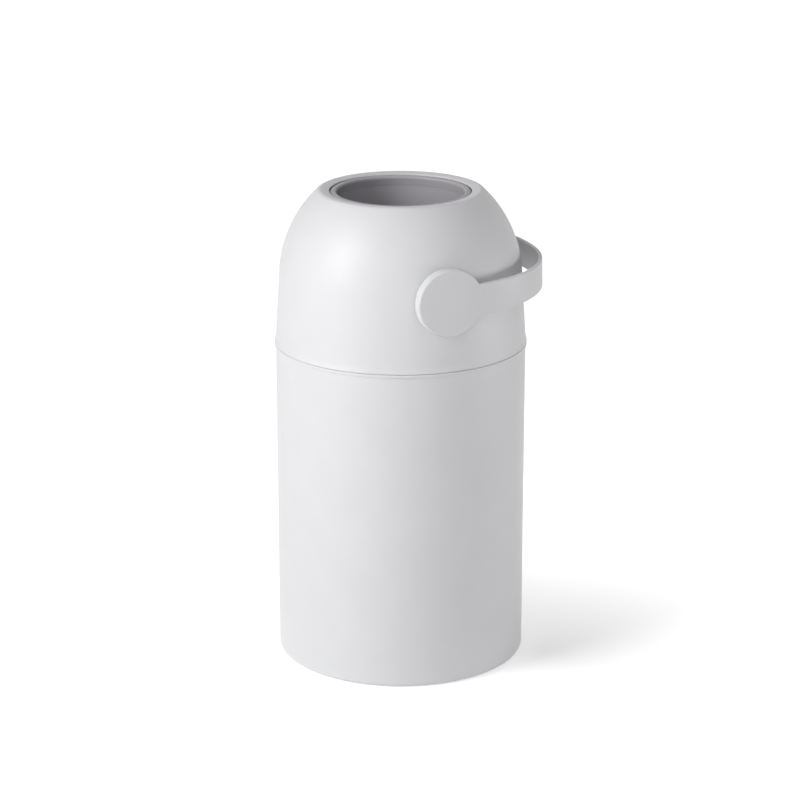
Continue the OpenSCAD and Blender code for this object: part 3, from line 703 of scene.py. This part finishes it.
# %% Well tube
WELL_R = 72.6          # the piston slides in this
WELL_END_R = 71.2
TUBE_R = 75.0
NARROWS = 8            # the narrowing is this long, and is rounded by as much
tube = [(WELL_END_R, -TUBE_RISE, 0.2), (TUBE_R, -TUBE_RISE), (TUBE_R, TUBE_RISE),
        (WELL_END_R, TUBE_RISE, 0.2), (WELL_R, TUBE_RISE - NARROWS, NARROWS),
        (WELL_R, NARROWS - TUBE_RISE, NARROWS)]
tube = [Vector((r, PIVOT_Z + h)) for r, h in rounded(tube, 6)]
finish_piece(turn("well_wall", tube, ROUND_WIDE), drum_grey, "drum", "grey_moulding", "well_tube")

# %% [markdown]
# ## Drum shells and their drivers
# Two hollow half shells make the ball around the tube. A flanged driver with a square hole
# is screwed to each side of it, and passes on the turn of the handle.

# %% Drum shells, drivers and screws
for side in ("left", "right"):
    smooth_copy(f"drum_shell_{side}", f"drum_half_{side}", drum_grey, "drum", "grey_moulding")
for side in ("front", "rear"):
    smooth_copy(f"trunnion_{side}", f"driver_{side}", head_white, "drum", "white_moulding")
smooth_copy("trunnion_screws", "driver_screw_set", screw_zinc, "drum", "screw_steel")
smooth_copy("handle_screws", "handle_screw_set", screw_zinc, "drum", "screw_steel")

# %% [markdown]
# ## Handle
# The handle is one moulding, a strap with a round hub at each end. Its outer face runs
# without a step from the flat of a hub into the bow of the strap. It could be pieced
# together from discs and a swept bar, but then a seam shows where they meet. So the whole
# outer plate is drawn flat, as if unrolled, its edges are bevelled, and then it is bent to
# the bow. The thick hubs are turned and joined on behind it.

# %% The bow seen from above
BOW_REACH = 154.9      # far end of the strap, from the axis of the body
BOW_START = 10.0       # here the strap starts to leave the plane of the hub's face
BOW_N = 2.2            # 2 would be an ellipse, more is squarer
BOW_STEPS = 4000       # the bow's length is measured in this many straight steps


def bow_point(t):
    """A point of the bow's outer edge, from t = 0 at the front hub to 2 at the rear one."""
    a = math.pi / 2 * t
    x_share = abs(math.sin(a)) ** (2 / BOW_N)
    y_share = math.copysign(abs(math.cos(a)) ** (2 / BOW_N), math.cos(a))
    return Vector((BOW_START + (BOW_REACH - BOW_START) * x_share, -HUB_OUT * y_share))


fine = [bow_point(1 - math.cos(math.pi * i / BOW_STEPS)) for i in range(BOW_STEPS + 1)]
lengths = [0.0]
for here, there in zip(fine, fine[1:]):
    lengths.append(lengths[-1] + (there - here).length)
BOW_LENGTH = lengths[-1]
REAR = BOW_LENGTH + 2 * BOW_START      # the rear hub's middle, along the unrolled handle
print("unrolled handle:", round(REAR, 1), "mm from hub to hub")

# %% [markdown]
# ## Along the bow
# To bend the flat plate, every length along it has to find its place on the bow. Near the
# hubs that is a straight line. Elsewhere the two measured points around it are looked up,
# and the place lies between them.

# %% From a length to a place on the bow
def on_bow(u):
    """The place and outward direction at u mm along the handle, from the front hub's middle."""
    run = u - BOW_START
    if run <= 0:
        return Vector((u, -HUB_OUT)), Vector((0, -1))
    if run >= BOW_LENGTH:
        return Vector((BOW_START - (run - BOW_LENGTH), HUB_OUT)), Vector((0, 1))
    low, high = 0, BOW_STEPS
    while high - low > 1:
        middle = (low + high) // 2
        low, high = (middle, high) if lengths[middle] <= run else (low, middle)
    share = (run - lengths[low]) / (lengths[high] - lengths[low])
    # the direction is taken over a few more steps, which keeps it smooth
    wide = (fine[min(high + 3, BOW_STEPS)] - fine[max(low - 3, 0)]).normalized()
    return fine[low].lerp(fine[high], share), Vector((wide.y, -wide.x))


print("far end of the strap:", [round(v, 2) for v in on_bow(REAR / 2)[0]])

# %% [markdown]
# ## The outline of the unrolled handle
# Seen from the side, each hub is a circle, and the strap leaves it with a small fillet and
# tapers to its far end. The upper edge is worked out once, and the lower edge is its
# mirror image.

# %% Outline of the plate
STRAP_ROOT = 17.4      # half the height of the strap beside a hub
STRAP_END = 15.5       # half the height of the strap at its far end
STRAP_FALL = (STRAP_ROOT - STRAP_END) / (BOW_REACH - HUB_R)
STRAP_STEPS = 40
FILLET = 4.0
# the fillet's middle lies its radius above the strap's edge and its radius outside the hub
slope = math.hypot(1, STRAP_FALL)
raised = STRAP_END + STRAP_FALL * BOW_REACH + FILLET * slope
under_root = (STRAP_FALL * raised) ** 2 - slope ** 2 * (raised ** 2 - (HUB_R + FILLET) ** 2)
fillet_x = (STRAP_FALL * raised + math.sqrt(under_root)) / slope ** 2
fillet_y = raised - STRAP_FALL * fillet_x
meet = math.degrees(math.atan2(fillet_y, fillet_x))
fall_angle = math.degrees(math.atan(STRAP_FALL))
disc_edge = arc((0, 0), HUB_R, 180, meet, 60)
fillet_edge = arc((fillet_x, fillet_y), FILLET, meet + 180, 270 - fall_angle, 8)
strap_edge = []
first_u = fillet_edge[-1][0] + 1.5     # a little past the end of the fillet
for i in range(STRAP_STEPS + 1):
    u = first_u + (REAR / 2 - first_u) * i / STRAP_STEPS
    strap_edge.append((u, STRAP_END + STRAP_FALL * (BOW_REACH - on_bow(u)[0].x)))
half_edge = disc_edge[1:] + fillet_edge[1:] + strap_edge
upper = half_edge + [(REAR - u, h) for u, h in reversed(half_edge[:-1])]
outline = [(-HUB_R, 0)] + upper + [(REAR + HUB_R, 0)] + [(u, -h) for u, h in reversed(upper)]
print("outline:", len(outline), "points")

# %% [markdown]
# ## Edges of the plate
# The outline is filled and extruded to its thickness. The edge around a hub is rolled over
# widely and the strap has a tight edge, and one has to fade into the other where the strap
# leaves the hub. A bevel that reads a weight on every edge can do that: its width is the
# widest rounding, and each weight is the share of it that an edge gets.

# %% Extrude the plate and bevel its edges
STRAP_T = 4.5
HUB_ROLL = 2.5         # rounding around the face of a hub
STRAP_ROLL = 0.9       # rounding along the outer edges of the strap
BACK_ROLL = 0.6        # rounding along the inner edges of the strap
FADE_FROM = 12         # one rounding goes over into the other between these
FADE_TO = 37


def fade(value, low, high):
    """Rises smoothly from 0 at low to 1 at high."""
    share = min(max((value - low) / (high - low), 0), 1)
    return share * share * (3 - 2 * share)


plate = draw("handle_moulding", [Vector((u, 0, h)) * MM for u, h in outline])
bpy.ops.mesh.edge_face_add()
bpy.ops.mesh.extrude_region_move(TRANSFORM_OT_translate={"value": (0, STRAP_T * MM, 0)})
bpy.ops.mesh.select_all(action="SELECT")
bpy.ops.mesh.normals_make_consistent(inside=False)
bpy.ops.object.mode_set(mode="OBJECT")
weights = plate.data.attributes.new("bevel_weight_edge", "FLOAT", "EDGE")
for edge, weight in zip(plate.data.edges, weights.data):
    ends = [plate.data.vertices[k].co / MM for k in edge.vertices]
    if abs(ends[0].y - ends[1].y) > 0.1:    # an edge through the thickness isn't bevelled
        continue
    u = (ends[0].x + ends[1].x) / 2
    along = fade(min(u, REAR - u), FADE_FROM, FADE_TO)
    outer_face = ends[0].y < 0.1
    roll = HUB_ROLL + (STRAP_ROLL - HUB_ROLL) * along if outer_face else BACK_ROLL * along
    weight.value = roll / HUB_ROLL
pick(plate)
bpy.ops.object.modifier_add(type="BEVEL")
bevel = plate.modifiers[-1]
bevel.limit_method = "WEIGHT"
bevel.width = HUB_ROLL * MM
bevel.segments = 6
bevel.use_clamp_overlap = False
bpy.ops.object.modifier_apply(modifier=bevel.name)
print("flat plate:", len(plate.data.polygons), "faces")

# %% [markdown]
# ## Bend the plate
# Bisecting the plate every few millimetres leaves narrow strips that can follow the bow.
# The bend itself is a formula, because it has to land exactly on the CAD model. The strap
# also rises a little towards its far end, so the whole plate is tilted about the pivot.

# %% Bend the plate to the bow
CUT_EVERY = 2.5
STRAP_RISE = math.radians(1.5)
bpy.ops.object.mode_set(mode="EDIT")
cuts = int((REAR - 2 * BOW_START) / CUT_EVERY)
for i in range(cuts + 1):
    u = BOW_START + (REAR - 2 * BOW_START) * i / cuts
    bpy.ops.mesh.select_all(action="SELECT")
    bpy.ops.mesh.bisect(plane_co=(u * MM, 0, 0), plane_no=(1, 0, 0))
bpy.ops.mesh.select_all(action="SELECT")
bpy.ops.mesh.remove_doubles(threshold=10 * SAME_POINT)
bpy.ops.object.mode_set(mode="OBJECT")
for vertex in plate.data.vertices:
    spot, outward = on_bow(vertex.co.x / MM)
    flat = spot - outward * (vertex.co.y / MM)
    height = vertex.co.z / MM
    x = flat.x * math.cos(STRAP_RISE) - height * math.sin(STRAP_RISE)
    z = flat.x * math.sin(STRAP_RISE) + height * math.cos(STRAP_RISE)
    vertex.co = Vector((x, flat.y, PIVOT_Z + z)) * MM
print("bent plate:", len(plate.data.polygons), "faces")

# %% [markdown]
# ## Hubs, stubs and keys
# Behind the plate each hub is a thick disc. A round stub runs from it through the bush, and
# ends in a square key that drives the drum. The disc is a hair smaller than the plate, so
# that the boolean finds no two faces in the same place.

# %% Join the hubs to the plate
DISC_R = HUB_R - 0.02
DISC_OUT = HUB_OUT - 3.6               # inside the plate
STUB_R = 10
STUB_FROM = 118
KEY = 12
KEY_MIDDLE = 116.1
HOLE_FROM = 109
HOLE_TO = 129.1
for out in sides:
    disc = rounded([(0, HUB_BACK), (DISC_R, HUB_BACK, 0.8), (DISC_R, DISC_OUT, 0.1), (0, DISC_OUT)], 4)
    combine(plate, turn("hub", disc, 160, closed=False, out=out), "UNION")
    combine(plate, rod("stub", STUB_R, STUB_FROM, HUB_BACK + 2, out, steps=64), "UNION")
    combine(plate, block("key", (KEY, KEY, KEY), (0, -out * KEY_MIDDLE, PIVOT_Z)), "UNION")
    hole = rod("screw_hole", SCREW_HOLE_R, HOLE_FROM, HOLE_TO, out, soft=0.1, steps=24)
    combine(plate, hole, "DIFFERENCE")
finish_piece(plate, head_white, "drum", "white_moulding", "handle", sharp=35)

# %% [markdown]
# ## Piston
# The piston is two dished plates with a rubber wiper clamped between them. Its upper plate
# is the floor that shows deep in the well.

# %% Piston plates and wiper
PISTON_Z = 357.827     # underside of the resting piston
PISTON_H = 16.0
PISTON_R = 71.9
SPACER_R = 9.0         # the plates all but meet in the middle, and clamp the wiper at the rim
face = [(0, 1.2), (64.4, 1.2, 2.0), (65.8, 0, 1.0), (70.75, 0, 0.9), (PISTON_R, 5.0, 1.0),
        (PISTON_R, 6.0, 0.2), (66.0, 6.0, 0.2), (66.0, 3.4, 0.5), (SPACER_R, 3.4, 0.5),
        (SPACER_R, 7.98, 0.2), (0, 7.98)]
for end, base, sign in (("bottom", PISTON_Z, 1), ("top", PISTON_Z + PISTON_H, -1)):
    profile = [Vector((r, base + sign * h)) for r, h in rounded(face, 5)]
    dish = turn(f"piston_{end}_dish", profile, closed=False)
    finish_piece(dish, drum_grey, "piston", "grey_moulding", f"piston_plate_{end}")
smooth_copy("piston_wiper", "wiper_lip", dark_rubber, "piston", "rubber")

# %% [markdown]
# ## Floor and background
# The photograph has a pure white background and a short, soft shadow at the right. A white
# plane alone turns grey away from the lamps, so it also glows, but only where the camera or a
# reflection sees it, and the glow casts no light. It grows with the distance from a spot
# beside the bin, up to plain white, and so the shadow is kept there and fades further out.

# %% Floor
FLOOR_SIZE = 40                        # metres
SHADOW_SPOT = (0.141, -0.089, 0)       # metres
GLOW_AT_SPOT = 0.40                    # strength, where 1 is plain white
GLOW_RISE = 1.55                       # for each metre away from the spot


def looked_at(tree):
    """1 for a ray from the camera, a reflection or a look through glass, and 0 for plain light."""
    path = add_node(tree, "ShaderNodeLightPath").outputs
    mirror = add_node(tree, "ShaderNodeMath",
                      {0: path["Is Glossy Ray"], 1: path["Is Transmission Ray"]}, operation="MAXIMUM")
    seen = add_node(tree, "ShaderNodeMath",
                    {0: path["Is Camera Ray"], 1: mirror.outputs[0]}, operation="MAXIMUM")
    return seen.outputs[0]


def studio_floor():
    material = bpy.data.materials.new("studio_floor")
    material.use_nodes = True
    tree = material.node_tree
    tree.nodes.clear()
    spot = add_node(tree, "ShaderNodeTexCoord").outputs["Object"]
    away = add_node(tree, "ShaderNodeVectorMath", {0: spot, 1: SHADOW_SPOT}, operation="DISTANCE")
    level = add_node(tree, "ShaderNodeMath", {0: away.outputs["Value"], 1: GLOW_RISE, 2: GLOW_AT_SPOT},
                     operation="MULTIPLY_ADD", use_clamp=True)
    glow = add_node(tree, "ShaderNodeEmission", {"Color": linear("#FFFFFF"), "Strength": level.outputs[0]})
    lit = add_node(tree, "ShaderNodeBsdfDiffuse", {"Color": linear("#F2F2F2")})
    both = add_node(tree, "ShaderNodeAddShader", {0: lit.outputs[0], 1: glow.outputs[0]})
    mix = add_node(tree, "ShaderNodeMixShader", {0: looked_at(tree), 1: lit.outputs[0], 2: both.outputs[0]})
    add_node(tree, "ShaderNodeOutputMaterial", {"Surface": mix.outputs[0]})
    return material


deselect()
bpy.ops.mesh.primitive_plane_add(size=FLOOR_SIZE)
floor = bpy.context.object
floor.name = "studio_floor"
floor.data.materials.append(studio_floor())
print("the floor is plain white from", round((1 - GLOW_AT_SPOT) / GLOW_RISE, 2), "m outwards")

# %% [markdown]
# ## World
# The world is plain white to look at, also in a reflection, and gives only a little light,
# since the lamps do the work.

# %% World
AMBIENT = 0.03
world = bpy.data.worlds.new("studio")
bpy.context.scene.world = world
world.use_nodes = True
sky = world.node_tree
sky.nodes.clear()
dim = add_node(sky, "ShaderNodeBackground", {"Color": linear("#FFFFFF"), "Strength": AMBIENT})
white = add_node(sky, "ShaderNodeBackground", {"Color": linear("#FFFFFF"), "Strength": 1.0})
both = add_node(sky, "ShaderNodeMixShader", {0: looked_at(sky), 1: dim.outputs[0], 2: white.outputs[0]})
add_node(sky, "ShaderNodeOutputWorld", {"Surface": both.outputs[0]})
print("light from the world:", AMBIENT)

# %% [markdown]
# ## Lamps
# Each lamp is a soft box that is placed by its bearing round the bin, its elevation and its
# size. Most of the light comes from the left: a wide box low down gives the long gradient
# round the body, and a smaller one higher up reaches over the crown to the right side of the
# well. A low strip at the right keeps that side from going dark and doesn't shine into the
# well, and weak boxes in front and above open up the shadow behind the strap.

# %% Lamps
AIM = Vector((0, 0, 0.3))              # all lamps point here, just above the middle of the bin
LAMP_AWAY = 2.8                        # metres from there


def soft_box(name, bearing, elevation, width, height, power):
    """An area lamp aimed at the bin. Bearing 0 is in front, along -Y, and 90 is at +X."""
    a, e = math.radians(bearing), math.radians(elevation)
    towards = Vector((math.cos(e) * math.sin(a), -math.cos(e) * math.cos(a), math.sin(e)))
    deselect()
    bpy.ops.object.light_add(type="AREA", location=AIM + towards * LAMP_AWAY)
    lamp = bpy.context.object
    lamp.name = name
    lamp.data.shape = "RECTANGLE"
    lamp.data.size = width
    lamp.data.size_y = height
    lamp.data.energy = power
    lamp.rotation_euler = towards.to_track_quat("Z", "Y").to_euler()
    print(f"{name}: {power} W at bearing {bearing}, elevation {elevation}")


soft_box("left_wide", -80, 18, 1.4, 1.6, 27)
soft_box("left_key", -80, 32, 1.0, 1.0, 25)
soft_box("right_strip", 65, 0, 1.6, 0.5, 19)
soft_box("camera_side", -21, 18, 1.4, 1.6, 11.5)
soft_box("front_high", 0, 48, 1.4, 1.4, 8)
soft_box("top", 0, 89, 1.8, 1.8, 7)

# %% [markdown]
# ## Camera
# The camera was fitted to the outlines of the photograph: a 121 mm lens about 2.9 m away,
# 1.21 m above the floor, looking down by 17.5 degrees.

# %% Camera
CAMERA_AT = (-1.0525, -2.7144, 1.2142)
LOOK_DOWN = 17.548                     # degrees
LOOK_ROUND = -21.193
LENS = 121.4
deselect()
bpy.ops.object.camera_add(location=CAMERA_AT,
                          rotation=(math.radians(90 - LOOK_DOWN), 0, math.radians(LOOK_ROUND)))
camera = bpy.context.object
camera.name = "photo_camera"
camera.data.lens = LENS
camera.data.sensor_width = 36
camera.data.shift_x = -0.00075
bpy.context.scene.camera = camera
bpy.context.scene.view_settings.view_transform = "Standard"
print("camera:", round(math.hypot(*CAMERA_AT[:2]), 2), "m from the bin's axis")
